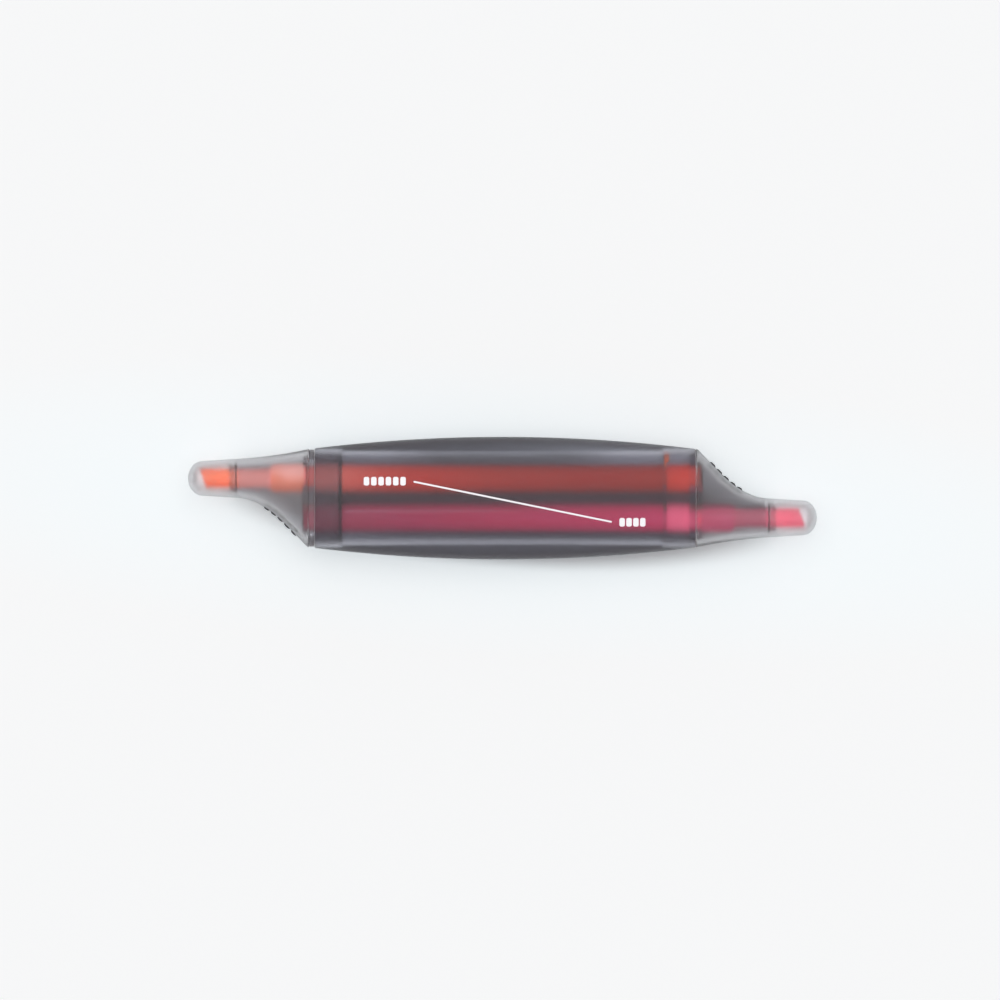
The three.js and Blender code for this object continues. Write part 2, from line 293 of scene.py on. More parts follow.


# %% [markdown]
# ## Smoked polypropylene
#
# Barrel, plugs and caps are injection-moulded polypropylene with a grey tint. It isn't as clear as
# glass: the plastic is faintly cloudy and its surface faintly textured, so what lies behind is
# soft. The tint is in the plastic's depth. That is why a thick side looks darker than a thin top,
# and volume absorption gives exactly that. Surface roughness stands for the cloudiness, and a
# fine bump with slow flow marks along the pen breaks up the highlights.
#
# One recipe serves every smoked piece, with small differences of finish. The barrel's bore keeps
# the rough finish of the steel core that moulds it. It is tinted a little darker than the shell,
# and half-way along its sides it is painted grey and less clear: painted shade. The barrel's cut
# edges are paler, a painted highlight, and the orange plug's skirt is hazier. The pink cap's hollow
# and the orange end's guide plate are darker than their twins, as painted shade, and the pink end's
# guide plate is clearer, as painted light.

# %% Smoked polypropylene
POLYPROPYLENE_IOR = 1.49
FLOW_MARKS = 0.01
SIDE_SHADE_GREY = "#6A6870"


def smoked_plastic(name, surface, depth, density, roughness, transmission, rougher=0.0, side_shade=0.0):
    """Smoked plastic. A cap's shoulder can be rougher than its tip, and a bore's sides can carry
    painted shade.
    """
    material, tree, out = new_material(name)
    along = place(tree, stretch=(0.05, 0.5, 0.5))
    marks = add(tree, "ShaderNodeTexNoise", {0: along, "Scale": 1.0, "Detail": 3.0}).outputs[0]
    low, high = roughness - FLOW_MARKS, roughness + FLOW_MARKS
    rough = add(tree, "ShaderNodeMapRange", {0: marks, 1: 0.3, 2: 0.7, 3: low, 4: high}).outputs[0]
    if rougher or side_shade:
        where = add(tree, "ShaderNodeTexCoord").outputs["Object"]
        spot = add(tree, "ShaderNodeSeparateXYZ", {0: where}).outputs
        far = add(tree, "ShaderNodeMath", {0: spot[0]}, operation="ABSOLUTE").outputs[0]
    if rougher:
        fade = {0: far, 1: rim + 9 * MM, 2: liner_mouth, 3: rougher, 4: 0.0}
        near_rim = add(tree, "ShaderNodeMapRange", fade).outputs[0]
        rough = add(tree, "ShaderNodeMath", {0: rough, 1: near_rim}, operation="ADD").outputs[0]
    grit = add(tree, "ShaderNodeTexNoise", {0: place(tree), "Scale": 3.0, "Detail": 2.0}).outputs[0]
    relief = {"Height": grit, "Strength": 0.02, "Distance": 0.02 * MM}
    plastic = add(
        tree,
        "ShaderNodeBsdfPrincipled",
        {
            "Base Color": linear(surface),
            "Roughness": rough,
            "IOR": POLYPROPYLENE_IOR,
            "Transmission Weight": transmission,
            "Normal": add(tree, "ShaderNodeBump", relief).outputs[0],
        },
    )
    # Painted shade: half-way along the bore's sides its colour turns grey and less light goes
    # through.
    if side_shade:
        aside = add(tree, "ShaderNodeMath", {0: spot[1], 1: 0.8 * MM}, operation="ADD").outputs[0]
        aside = add(tree, "ShaderNodeMath", {0: aside}, operation="ABSOLUTE").outputs[0]
        sides = add(tree, "ShaderNodeMapRange", {0: aside, 1: 8.2 * MM, 2: 10 * MM}).outputs[0]
        fade = {0: far, 1: 14 * MM, 2: 27 * MM, 3: 1.0, 4: 0.0}
        middle = add(tree, "ShaderNodeMapRange", fade).outputs[0]
        shade_mask = add(tree, "ShaderNodeMath", {0: middle, 1: sides}, operation="MULTIPLY").outputs[0]
        loss = add(tree, "ShaderNodeMath", {0: shade_mask, 1: side_shade}, operation="MULTIPLY").outputs[0]
        clear = add(tree, "ShaderNodeMath", {0: transmission, 1: loss}, operation="SUBTRACT")
        tree.links.new(clear.outputs[0], plastic.inputs["Transmission Weight"])
        tones = {0: shade_mask, 6: linear(surface), 7: linear(SIDE_SHADE_GREY)}
        tone = add(tree, "ShaderNodeMix", tones, data_type="RGBA").outputs[2]
        tree.links.new(tone, plastic.inputs["Base Color"])
    smoke = add(tree, "ShaderNodeVolumeAbsorption", {"Color": linear(depth), "Density": density})
    tree.links.new(plastic.outputs[0], out.inputs["Surface"])
    tree.links.new(smoke.outputs[0], out.inputs["Volume"])
    print(name, "has roughness", roughness, "and lets", transmission, "of the light through")
    return material


cool, warm, slate, mist = "#888AA4", "#8E8C92", "#686678", "#C8C4CC"
shell_plastic = smoked_plastic("smoked_polypropylene_shell", "#EAE9EF", cool, 66, 0.38, 0.98)
# The bore is tinted a little darker than the shell, and its sides carry painted shade.
bore_plastic = smoked_plastic("core_pin_finish_with_painted_shade", "#DDDBE2", cool, 66, 0.52, 0.98, side_shade=0.36)
# Painted highlight: the rims' cut edges let less light through, so they look paler.
rim_highlight_plastic = smoked_plastic("painted_highlight_rim_edge", "#E8E4E8", cool, 66, 0.4, 0.35)
skirt_plastic = smoked_plastic("smoked_polypropylene_skirt", "#E6E2E8", cool, 50, 0.36, 0.83)
plug_plastic = smoked_plastic("smoked_polypropylene_plug", "#F6F5F8", cool, 40, 0.3, 0.97)
cap_plastic = smoked_plastic("smoked_polypropylene_cap", "#F6F5F7", warm, 62, 0.3, 0.965, 0.05)
# Painted shade: a darker tint for the hollow of the pink cap.
shaded_hollow_plastic = smoked_plastic("painted_shade_cap_hollow", "#E5DFE3", warm, 62, 0.4, 0.965)
# Painted shade and painted light: the orange end's guide is darker and the pink end's clearer than
# the shell.
shaded_guide_plastic = smoked_plastic("painted_shade_guide", "#BCB8C0", slate, 260, 0.3, 0.97)
lit_guide_plastic = smoked_plastic("painted_light_guide", "#FCFBFC", mist, 20, 0.3, 0.99)

# %% [markdown]
# ## Natural polyethylene and clear film
#
# The cap liners have no tint. Such plastic is milky: some light goes through and some is scattered
# back, so the shader mixes both. It also gathers light from the table, which a faint glow of the
# lower half stands for. The liner's cut mouth is darker, since little light reaches it. The film
# round each rod is a wrap as thin as cling film. Ink wets it from inside, so it bends light less
# than a dry film would, and it mostly shows as a gloss over the fibre.

# %% Milky plastic and film
WETTED_FILM_IOR = 1.2
CLOUDINESS = 0.04
TABLE_LIGHT = "#EEFAF8"


def milky_plastic(name, surface, roughness, transmission, glow=0.0, ior=POLYPROPYLENE_IOR):
    """Milky plastic, with the light that its lower half gathers from the table as a glow."""
    material, tree, out = new_material(name)
    patches = {0: place(tree), "Scale": 0.8, "Detail": 2.0}
    cloud = add(tree, "ShaderNodeTexNoise", patches).outputs[0]
    low, high = roughness - CLOUDINESS, roughness + CLOUDINESS
    rough = add(tree, "ShaderNodeMapRange", {0: cloud, 1: 0.3, 2: 0.7, 3: low, 4: high}).outputs[0]
    plastic = add(
        tree,
        "ShaderNodeBsdfPrincipled",
        {
            "Base Color": linear(surface),
            "Roughness": rough,
            "IOR": ior,
            "Transmission Weight": transmission,
        },
    )
    if glow:
        where = add(tree, "ShaderNodeTexCoord").outputs["Object"]
        z = add(tree, "ShaderNodeSeparateXYZ", {0: where}).outputs[2]
        fade = {0: z, 1: axis_z - 1 * MM, 2: axis_z + 1 * MM, 3: glow, 4: 0.0}
        lower_half = add(tree, "ShaderNodeMapRange", fade).outputs[0]
        plastic.inputs["Emission Color"].default_value = linear(TABLE_LIGHT)
        tree.links.new(lower_half, plastic.inputs["Emission Strength"])
    tree.links.new(plastic.outputs[0], out.inputs["Surface"])
    print(name, "has roughness", roughness, "and glow", glow)
    return material


liner_plastic = milky_plastic("natural_polyethylene", "#FBF9FA", 0.33, 0.88, glow=0.3)
mouth_plastic = milky_plastic("liner_mouth_edge", "#8C8084", 0.4, 0.9)
film_plastic = milky_plastic("clear_wrapping_film", "#FAF4F4", 0.33, 1.0, ior=WETTED_FILM_IOR)

# %% [markdown]
# ## Ink-soaked fibre
#
# A reservoir is a bundle of polyester fibre drawn lengthwise, and a nib is the same fibre bonded
# hard and ground to a chisel. Highlighter ink is so strong that the fibre looks nearly luminous,
# which a glow stands for. The glow is painted light: it is strongest on top, where the light falls,
# and faint underneath, as painted shade. Both the glow and the strength of the ink change along the
# pen, so a colour ramp is used as a ruler: red holds the glow and green the share of full ink, from
# one end of the pen to the other. Where the orange ink wets its neck's bore, the side that faces
# the light is mixed paler and its glow leans that way: a painted highlight. Real fibres are finer
# than a hair, so the streaks here are drawn about ten times as coarse.

# %% Fibre
HALF_RULER = 72 * MM
MOST_GLOW = 2.0
SIDE_GLOW, UNDER_GLOW = 0.42, 0.2
LEAN = 0.6
orange_y = -channel_y


def ink_fibre(name, dark, light, dry, streak, lengthwise, glow_stops, lit_side=0.0):
    """Ink with a glow of painted light, stronger in some places. A stop is (x in millimetres, glow,
    share of full ink).
    """
    material, tree, out = new_material(name)
    along = place(tree, stretch=(lengthwise, streak, streak))
    fine = {0: along, "Scale": 1.0, "Detail": 4.0, "Roughness": 0.6}
    streaks = add(tree, "ShaderNodeTexNoise", fine).outputs[0]
    broad = {0: place(tree, (0.06, 0.3, 0.3)), "Scale": 1.0, "Detail": 1.0}
    slow = add(tree, "ShaderNodeTexNoise", broad).outputs[0]
    both = add(tree, "ShaderNodeMath", {0: streaks, 1: slow}, operation="ADD").outputs[0]
    share = add(tree, "ShaderNodeMapRange", {0: both, 1: 0.75, 2: 1.25}).outputs[0]
    inks = {0: share, 6: linear(dark), 7: linear(light)}
    ink = add(tree, "ShaderNodeMix", inks, data_type="RGBA").outputs[2]

    where = add(tree, "ShaderNodeTexCoord").outputs["Object"]
    spot = add(tree, "ShaderNodeSeparateXYZ", {0: where}).outputs
    ends = {0: spot[0], 1: -HALF_RULER, 2: HALF_RULER}
    from_left = add(tree, "ShaderNodeMapRange", ends).outputs[0]
    ramp = add(tree, "ShaderNodeValToRGB", {0: from_left})
    knots = ramp.color_ramp.elements
    for number, (stop, stop_glow, stop_ink) in enumerate(glow_stops):
        position = (stop * MM + HALF_RULER) / (2 * HALF_RULER)
        knot = knots[number] if number < 2 else knots.new(position)
        knot.position = position
        knot.color = (stop_glow / MOST_GLOW, stop_ink, 0.0, 1.0)
    glow, full = add(tree, "ShaderNodeSeparateColor", {0: ramp.outputs[0]}).outputs[:2]

    height = spot[2]
    # Painted highlight: towards the lit side the ink mixes to its paler dry colour and the glow
    # leans over.
    if lit_side:
        sides = {0: spot[1], 1: orange_y - 2 * MM, 2: orange_y + 2 * MM, 3: lit_side, 4: -lit_side}
        paler = add(tree, "ShaderNodeMapRange", sides).outputs[0]
        total = add(tree, "ShaderNodeMath", {0: full, 1: paler}, operation="ADD", use_clamp=True)
        full = total.outputs[0]
        off_axis = add(tree, "ShaderNodeMath", {0: spot[1], 1: orange_y}, operation="SUBTRACT")
        lean = {0: off_axis.outputs[0], 1: LEAN * lit_side}
        lean = add(tree, "ShaderNodeMath", lean, operation="MULTIPLY").outputs[0]
        height = add(tree, "ShaderNodeMath", {0: height, 1: lean}, operation="ADD").outputs[0]
    # Painted light and shade: the glow is strongest on top and faint underneath.
    fade = {0: height, 1: axis_z, 2: axis_z + 0.9 * rod_radius, 3: SIDE_GLOW}
    top = add(tree, "ShaderNodeMapRange", fade).outputs[0]
    fade = {0: spot[2], 1: axis_z - 1.2 * MM, 2: axis_z, 3: UNDER_GLOW}
    under = add(tree, "ShaderNodeMapRange", fade).outputs[0]
    for factor in (MOST_GLOW, top, under):
        glow = add(tree, "ShaderNodeMath", {0: glow, 1: factor}, operation="MULTIPLY").outputs[0]

    strengths = {0: full, 6: linear(dry), 7: ink}
    colour = add(tree, "ShaderNodeMix", strengths, data_type="RGBA").outputs[2]
    relief = {"Height": streaks, "Strength": 0.3, "Distance": 0.05 * MM}
    fibre = add(
        tree,
        "ShaderNodeBsdfPrincipled",
        {
            "Base Color": colour,
            "Roughness": 0.7,
            "IOR": 1.4,
            "Normal": add(tree, "ShaderNodeBump", relief).outputs[0],
            "Emission Color": colour,
            "Emission Strength": glow,
        },
    )
    tree.links.new(fibre.outputs[0], out.inputs["Surface"])
    print(name, "is set at", len(glow_stops), "places along the pen")
    return material


# %% [markdown]
# ## The two inks along the pen
#
# Each row below is one ink in one place: its painted light, as glow, and its share of full ink. The
# orange rod's glow fades towards the pink end, the pink one's towards the orange end. Behind the
# hazy skirt both look dry and pale, and under the orange plug's flange they are full again. In
# front of the clear guide plate the painted light is stronger. A nib is deepest in colour, and
# glows most, where its tip sticks out.

# %% Inks
orange_core_stops = [(-43.3, 0.4, 1), (-42.9, 0.5, 1), (-41.9, 0.5, 1), (-41.6, 0.9, 0.1)]
orange_core_stops += [(-36.6, 0.86, 0.1), (-36.3, 0.7, 0.5), (-35.5, 0.72, 0.35), (-22, 0.55, 1)]
orange_core_stops += [(0, 0.38, 1), (20, 0.32, 1), (35.5, 0.32, 1), (37.2, 0.66, 1), (41, 0.7, 1)]
orange_core_stops += [(41.6, 0.88, 1), (43, 0.8, 1), (43.2, 0.35, 0.5)]
pink_core_stops = [(-43.3, 0.3, 1), (-42.9, 0.24, 1), (-41.9, 0.24, 1), (-41.6, 0.36, 0.3)]
pink_core_stops += [(-36.5, 0.32, 0.3), (-36.2, 0.26, 0.6), (-34, 0.33, 0.4), (-20, 0.38, 0.8)]
pink_core_stops += [(0, 0.48, 0.8), (33, 0.6, 0.8), (35.5, 0.62, 0.8), (37.2, 1.0, 0.3)]
pink_core_stops += [(41, 1.05, 0.3), (41.6, 1.15, 0.4), (42.9, 0.95, 0.6), (43.2, 0.75, 0.6)]
orange_nib_stops = [(-60.9, 1.9, 1), (-60.4, 1.2, 0.9), (-58.8, 1.25, 0.6), (-58.4, 1.0, 0.15)]
orange_nib_stops += [(-40, 1.0, 0.1)]
pink_nib_stops = [(40, 0.6, 0.3), (58.4, 0.56, 0.3), (58.8, 1.15, 0.6), (60.4, 1.1, 0.9)]
pink_nib_stops += [(60.9, 1.6, 1)]
orange_bore_stops = [(-51, 0.85, 1), (-50, 0.85, 0.9), (-47.5, 0.9, 0.4), (-44.5, 0.85, 0.5)]
pink_bore_stops = [(44, 0.55, 1), (50, 0.5, 1)]

orange_core_ink = ink_fibre(
    "orange_ink_in_fibre", "#FF3A26", "#FF4A30", "#FF8878", 3.0, 0.06, orange_core_stops
)
pink_core_ink = ink_fibre(
    "pink_ink_in_fibre", "#FF3070", "#FF4484", "#FF7C98", 3.0, 0.06, pink_core_stops
)
orange_nib_ink = ink_fibre(
    "orange_ink_in_nib", "#FF5A1E", "#FF7434", "#E89A94", 6.0, 0.3, orange_nib_stops
)
pink_nib_ink = ink_fibre(
    "pink_ink_in_nib", "#FF4468", "#FF6080", "#D86A88", 6.0, 0.3, pink_nib_stops
)
orange_wet_bore = ink_fibre(
    "orange_ink_on_bore", "#FF8460", "#FF9474", "#FFB6AA", 1.0, 0.3, orange_bore_stops, lit_side=0.8
)
pink_wet_bore = ink_fibre(
    "pink_ink_on_bore", "#F05482", "#FA6694", "#F05482", 1.0, 0.3, pink_bore_stops
)

# %% [markdown]
# ## The barrel
#
# The barrel is one moulded tube. Outside it swells like a cigar, inside its bores are straight, so
# its walls are thickest half-way along. Its loft goes forward along the outside, turns a small
# round at the rim and comes back along the bore. The underside is pared flat by a tenth of a
# millimetre, as on the engineering model, so that the pen lies still. Its faces then get one of
# three finishes: the shell's, the bore's, or the paler one of the cut edges at the rims, which is a
# painted highlight.

# %% Barrel
BARREL_STATIONS = 44
edge_round = 0.12 * MM
end_bore = (end_half_width - 0.9 * MM, end_half_height - 0.9 * MM)
main_bore = (end_bore[0] - 0.4 * MM, end_bore[1] - 0.4 * MM)
bore_step = rim - 7.4 * MM


def outer_ring(x, inset=0.0):
    half_width = end_half_width + arch(x, width_rise) - inset
    ring = oval(x, -half_width, half_width, end_half_height + arch(x, height_rise) - inset)
    for point in ring:
        point.z = max(point.z, 0.0)
    return ring


def bore_ring(x, bore):
    return oval(x, -bore[0], bore[0], bore[1])


left_x, right_x = barrel_low.x, barrel_high.x
stations = [
    left_x + edge_round + (right_x - left_x - 2 * edge_round) * i / BARREL_STATIONS
    for i in range(BARREL_STATIONS + 1)
]
barrel_rings = [outer_ring(left_x, edge_round)]
barrel_rings += [outer_ring(x) for x in stations]
barrel_rings += [outer_ring(right_x, edge_round)]
barrel_rings += [bore_ring(x, end_bore) for x in (right_x, bore_step)]
barrel_rings += [bore_ring(x, main_bore) for x in (bore_step, -bore_step)]
barrel_rings += [bore_ring(x, end_bore) for x in (-bore_step, left_x)]
barrel = build("barrel_shell", skin(barrel_rings, loop=True))
finish_piece(barrel, shell_plastic, "barrel", "smoked_shell", "barrel")
barrel.data.materials.append(bore_plastic)
barrel.data.materials.append(rim_highlight_plastic)
BORE_INDEX, RIM_INDEX = 1, 2
JUST_OUTSIDE = 1.002
for face in barrel.data.polygons:
    across, up = face.center.y / end_bore[0], (face.center.z - axis_z) / end_bore[1]
    if abs(face.center.x) < rim and math.hypot(across, up) < JUST_OUTSIDE:
        face.material_index = BORE_INDEX
    if not left_x + edge_round < face.center.x < right_x - edge_round:
        face.material_index = RIM_INDEX

# %% [markdown]
# ## The ink rods
#
# Each rod is a fibre core in a film sleeve. Both are turned shapes. The core has a pocket at one
# end, which the nib's shank is pushed into. The two ends of the pen are alike but half a turn
# apart, so each piece is made once and then turned for the orange end.

# %% Rods
film_wall = 0.1 * MM
core_radius = rod_radius - 0.2 * MM
bore_radius = 2.225 * MM
pocket_end = rod_end - 5.3 * MM


def turned(profile, loop=False):
    """A turned piece from (x, radius) pairs. A pair on the axis is the point of a fan."""
    on_axis = [x for x, radius in profile if radius == 0]
    rings = [round_ring(x, radius) for x, radius in profile if radius > 0]
    points = [Vector((x, channel_y, axis_z)) for x in on_axis]
    start = points[0] if profile[0][1] == 0 else None
    end = points[-1] if profile[-1][1] == 0 else None
    return skin(rings, loop, start, end)


core_shape = turned(
    [
        (-rod_end, 0),
        (-rod_end, core_radius),
        (rod_end, core_radius),
        (rod_end, bore_radius),
        (pocket_end, bore_radius),
        (pocket_end, 0),
    ]
)
film_shape = turned(
    [
        (-rod_end, rod_radius - film_wall),
        (-rod_end, rod_radius),
        (rod_end, rod_radius),
        (rod_end, rod_radius - film_wall),
    ],
    loop=True,
)
for end, core_ink in (("pink", pink_core_ink), ("orange", orange_core_ink)):
    turn = end == "orange"
    core = build(end + "_core", core_shape, turn)
    finish_piece(core, core_ink, "barrel", end + "_core", end + "_reservoir_core")
    film = build(end + "_film", film_shape, turn)
    finish_piece(film, film_plastic, "barrel", end + "_film", end + "_reservoir_film")

# %% [markdown]
# ## The end plugs
#
# A plug is a wall with a collar that the cap sits on, a neck and a nose in front, and sockets and
# a bore cut into it. A shape like that is easiest as a sum: simple solids joined and then cut, as
# the mould's own parts would do it. Boolean modifiers join and cut here, and their result is kept
# as a plain mesh. Ink has wetted the bore of each neck, and the orange plug's skirt is hazy, so
# those faces get a second material.

# %% Plugs
plug_fit = 0.12 * MM
wall_face = rim - 1.5 * MM
socket_floor = wall_face + 2.45 * MM
collar_end = rim + 1.4 * MM
collar_round = 0.5 * MM
neck_end = rim + 8.3 * MM
nose_end = neck_end + 9.4 * MM
nose_radius, neck_radius = 2.9 * MM, 3.3 * MM
nose_round = 0.6 * MM
seat_fit = 0.15 * MM
CUT_PAST = 1 * MM


def oval_bar(start, end, half_width, half_height, soft=0.0):
    rings = [(start, 0.0), (end - soft, 0.0), (end, soft)] if soft else [(start, 0.0), (end, 0.0)]
    return skin([oval(x, -half_width + i, half_width - i, half_height - i) for x, i in rings])


def quarter_turn(steps):
    return [math.pi / 2 * i / steps for i in range(steps + 1)]


def collar_shape():
    rings = [(rim - 0.75 * MM, 0.0), (rim, 0.0)]
    rings += [
        (collar_end - collar_round * (1 - math.sin(a)), collar_round * (1 - math.cos(a)))
        for a in quarter_turn(5)
    ]
    made = []
    for x, inset in rings:
        low, high, half_height = cap_hollow(max(x - rim, 0.0))
        fit = seat_fit + inset
        made.append(oval(x, low + fit, high - fit, half_height - fit))
    return skin(made)


def neck_shape():
    front = [
        (nose_end - nose_round * (1 - math.sin(a)), nose_radius - nose_round * (1 - math.cos(a)))
        for a in quarter_turn(6)
    ]
    back = [(socket_floor, 0), (socket_floor, neck_radius)]
    ease = [(neck_end - 0.4 * MM, neck_radius), (neck_end - 0.3 * MM, neck_radius - 0.06 * MM)]
    step = [(neck_end - 0.1 * MM, nose_radius + 0.06 * MM), (neck_end, nose_radius)]
    return turned(back + ease + step + front + [(nose_end, 0)])


def rod_room(start, end):
    """Room for both rods: one round bar and its mirror image across the pen."""
    room_radius = rod_radius + seat_fit
    vertices, faces = turned([(start, 0), (start, room_radius), (end, room_radius), (end, 0)])
    mirrored = [Vector((p.x, -p.y, p.z)) for p in vertices]
    return [(vertices, faces), (mirrored, [tuple(reversed(face)) for face in faces])]


def recoat(piece, material, inside):
    """Gives another material to the faces whose middle is inside a region of the pink end."""
    piece.data.materials.append(material)
    turn = -1 if piece.name.startswith("orange") else 1
    recoated = 0
    for face in piece.data.polygons:
        if inside(face.center.x * turn, face.center.y * turn, face.center.z):
            face.material_index = len(piece.data.materials) - 1
            recoated += 1
    print(piece.name, "has", recoated, "faces in", material.name)


def in_neck_bore(x, y, z):
    off_axis = math.hypot(y - channel_y, z - axis_z)
    return rim < x < neck_end and off_axis < bore_radius + 0.05 * MM


def in_barrel(x, y, z):
    return x < rim


def carve(name, joined, cut_away, at_orange_end=False):
    """Joins the first list of shapes, cuts the second list out, and returns the piece."""
    whole = build(name, joined[0], at_orange_end)
    tools = [(shape, "UNION") for shape in joined[1:]]
    tools += [(shape, "DIFFERENCE") for shape in cut_away]
    helpers = []
    for number, (shape, operation) in enumerate(tools):
        tool = build("%s_tool_%d" % (name, number), shape, at_orange_end)
        modifier = whole.modifiers.new(tool.name, "BOOLEAN")
        modifier.object = tool
        modifier.operation = operation
        modifier.solver = "EXACT"
        helpers.append(tool)
    evaluated = whole.evaluated_get(bpy.context.evaluated_depsgraph_get())
    mesh = bpy.data.meshes.new_from_object(evaluated)
    whole.modifiers.clear()
    whole.data = mesh
    for tool in helpers:
        bpy.data.objects.remove(tool)
    mesh.shade_smooth()
    mesh.set_sharp_from_angle(angle=SHARP_ANGLE)
    return whole


fit_width, fit_height = end_bore[0] - plug_fit, end_bore[1] - plug_fit
wall = oval_bar(wall_face, barrel_high.x, fit_width, fit_height, 0.1 * MM)
front_parts = [collar_shape(), neck_shape()]
past_nose = nose_end + CUT_PAST
bore_profile = [(wall_face, 0), (wall_face, bore_radius), (neck_end, bore_radius)]
bore_profile += [(past_nose, bore_radius), (past_nose, 0)]
cuts = rod_room(bore_step, socket_floor) + [turned(bore_profile)]
pink_plug = carve("pink_plug", [wall] + front_parts, cuts)
finish_piece(pink_plug, plug_plastic, "barrel", "smoked_shell", "pink_end_plug")
recoat(pink_plug, pink_wet_bore, in_neck_bore)

flange_width, flange_height = end_half_width - 0.15 * MM, end_half_height - 0.15 * MM
skirt_end = bore_step + 0.82 * MM
skirt_wall = 0.8 * MM
flange = oval_bar(barrel_high.x - 1 * MM, barrel_high.x, flange_width, flange_height, 0.1 * MM)
skirt = oval_bar(skirt_end, barrel_high.x - 0.5 * MM, fit_width, fit_height)
hollow_width, hollow_height = fit_width - skirt_wall, fit_height - skirt_wall
skirt_hollow = oval_bar(skirt_end - CUT_PAST, wall_face, hollow_width, hollow_height)
orange_plug = carve("orange_plug", [flange, skirt] + front_parts, [skirt_hollow] + cuts, True)
finish_piece(orange_plug, plug_plastic, "barrel", "smoked_shell", "orange_end_plug")
recoat(orange_plug, orange_wet_bore, in_neck_bore)
recoat(orange_plug, skirt_plastic, in_barrel)

# %% [markdown]
# ## The guide plates
#
# Two thin plates hold the rods apart. Their shape on the engineering model is already right, so
# they stay, and only get a proper material. The orange end's plate is darker than its twin, as
# painted shade, and the pink end's clearer, as painted light.

# %% Guides
for end, plate_plastic in (("pink", lit_guide_plastic), ("orange", shaded_guide_plastic)):
    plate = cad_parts[end + "_rod_guide"]
    plate.data.materials.clear()
    plate.data.materials.append(plate_plastic)
    print(plate.name, "keeps its engineering shape")

# %% [markdown]
# ## The nibs
#
# A chisel nib is a round fibre rod ground to a ridged roof above and below, and then cut at a
# slant. Each ring of the loft is the rod's circle cut off by the roof, whichever is nearer to the
# axis. Towards the tip the roof closes in, and the slant shears the rings back.

# %% Nibs
nib_radius = 2.125 * MM
nib_slant = 0.36
shank_end = rod_end - 5 * MM
NIB_STATIONS = 14


def nib_ring(x, slant, ridge, side):
    fall = (ridge - side) / nib_radius
    ring = []
    for i in range(RING_POINTS):
        angle = 2 * math.pi * i / RING_POINTS
        lean = abs(math.sin(angle)) + fall * abs(math.cos(angle))
        roof = ridge / max(lean, 0.01)
        reach = (nib_radius**-8 + roof**-8) ** (-1 / 8)
        across, up = reach * math.cos(angle), reach * math.sin(angle)
        ring.append(Vector((x - slant * (across + nib_radius), channel_y + across, axis_z + up)))
    return ring


# The roof's height above the axis in millimetres, at its ridge and at its sides.
first_ridge, last_ridge = 1.9, 0.85
first_side, last_side = 1.15, 0.5
unground = 4 * nib_radius
grind_start = nose_end - 0.4 * MM
nib_rings = [nib_ring(x, 0.0, unground, unground) for x in (shank_end, grind_start)]
for i in range(NIB_STATIONS + 1):
    t = i / NIB_STATIONS
    ridge = (first_ridge + (last_ridge - first_ridge) * t) * MM
    side = (first_side + (last_side - first_side) * t) * MM
    nib_rings.append(nib_ring(nose_end + (nib_end - nose_end) * t, nib_slant * t, ridge, side))
for end, ink in (("pink", pink_nib_ink), ("orange", orange_nib_ink)):
    nib = build(end + "_chisel_nib", skin(nib_rings), end == "orange")
    finish_piece(nib, ink, "barrel", end + "_nib", end + "_nib")

# %% [markdown]
# ## Caps and liners
#
# A cap is a thin shell whose section changes from the pen's broad oval to a small round tip. Its
# loft starts at the hollow's deepest point, comes out over the rim and goes up the outside to the
# tip. The liner is a thimble in the tip that seals round the nose, or the nib would dry out. The
# faces of the pink cap's hollow, beside its nose, and the first edge of each liner get their own
# darker finishes, which are painted shade.

# %% Caps
CAP_STATIONS = 40
DOME_STATIONS = 12
liner_wall, liner_gap = 0.45 * MM, 0.1 * MM
liner_radius = nose_radius + 0.1 * MM
liner_straight = (nose_end - liner_mouth) + 0.4 * MM
liner_loss = 0.07 * (dome_start - liner_mouth - liner_straight)
chamber_radius = liner_radius + liner_wall + liner_gap
liner_apex = nib_end + 1.25 * MM
chamber_apex = liner_apex + liner_wall + liner_gap
cap_face = pink_cap_low.x
mouth_edge = 0.3 * MM


def dome(apex_x, radius):
    """Round rings from where the dome starts to just short of its apex."""
    angles = [math.pi / 2 * i / DOME_STATIONS for i in range(DOME_STATIONS)]
    return [
        (dome_start + (apex_x - dome_start) * math.sin(a), radius * math.cos(a)) for a in angles
    ]


def cap_shape():
    lip, lip_end = 0.12 * MM, 0.17 * MM
    distances = [shoulder_reach * (i / CAP_STATIONS) for i in range(1, CAP_STATIONS + 1)]
    low, high, half_height = cap_outline(0.0)
    outside = [oval(cap_face, low + lip, high - lip, half_height - lip)]
    outside += [oval(rim + max(s, lip_end), *cap_outline(s)) for s in [0.0] + distances]
    outside += [round_ring(x, r) for x, r in dome(cap_tip, tip_radius - tip_taper * tip_length)]
    inside = [oval(cap_face, *cap_hollow(0.0))]
    inside += [oval(rim + s, *cap_hollow(s)) for s in distances[:-1]]
    inside += [round_ring(x, chamber_radius) for x in (liner_mouth, liner_mouth + liner_straight)]
    inside += [round_ring(x, r) for x, r in dome(chamber_apex, chamber_radius - liner_loss)]
    deepest = Vector((chamber_apex, channel_y, axis_z))
    foremost = Vector((cap_tip, channel_y, axis_z))
    return skin(inside[::-1] + outside, False, deepest, foremost)


def liner_shape():
    outer = liner_radius + liner_wall
    stretch = [liner_mouth, liner_mouth + mouth_edge, liner_mouth + liner_straight]
    hollow = [(x, liner_radius) for x in stretch]
    hollow += dome(liner_apex, liner_radius - liner_loss) + [(liner_apex, 0)]
    outside = [(x, outer) for x in stretch]
    outside += dome(liner_apex + liner_wall, outer - liner_loss) + [(liner_apex + liner_wall, 0)]
    return turned(hollow[::-1] + outside)


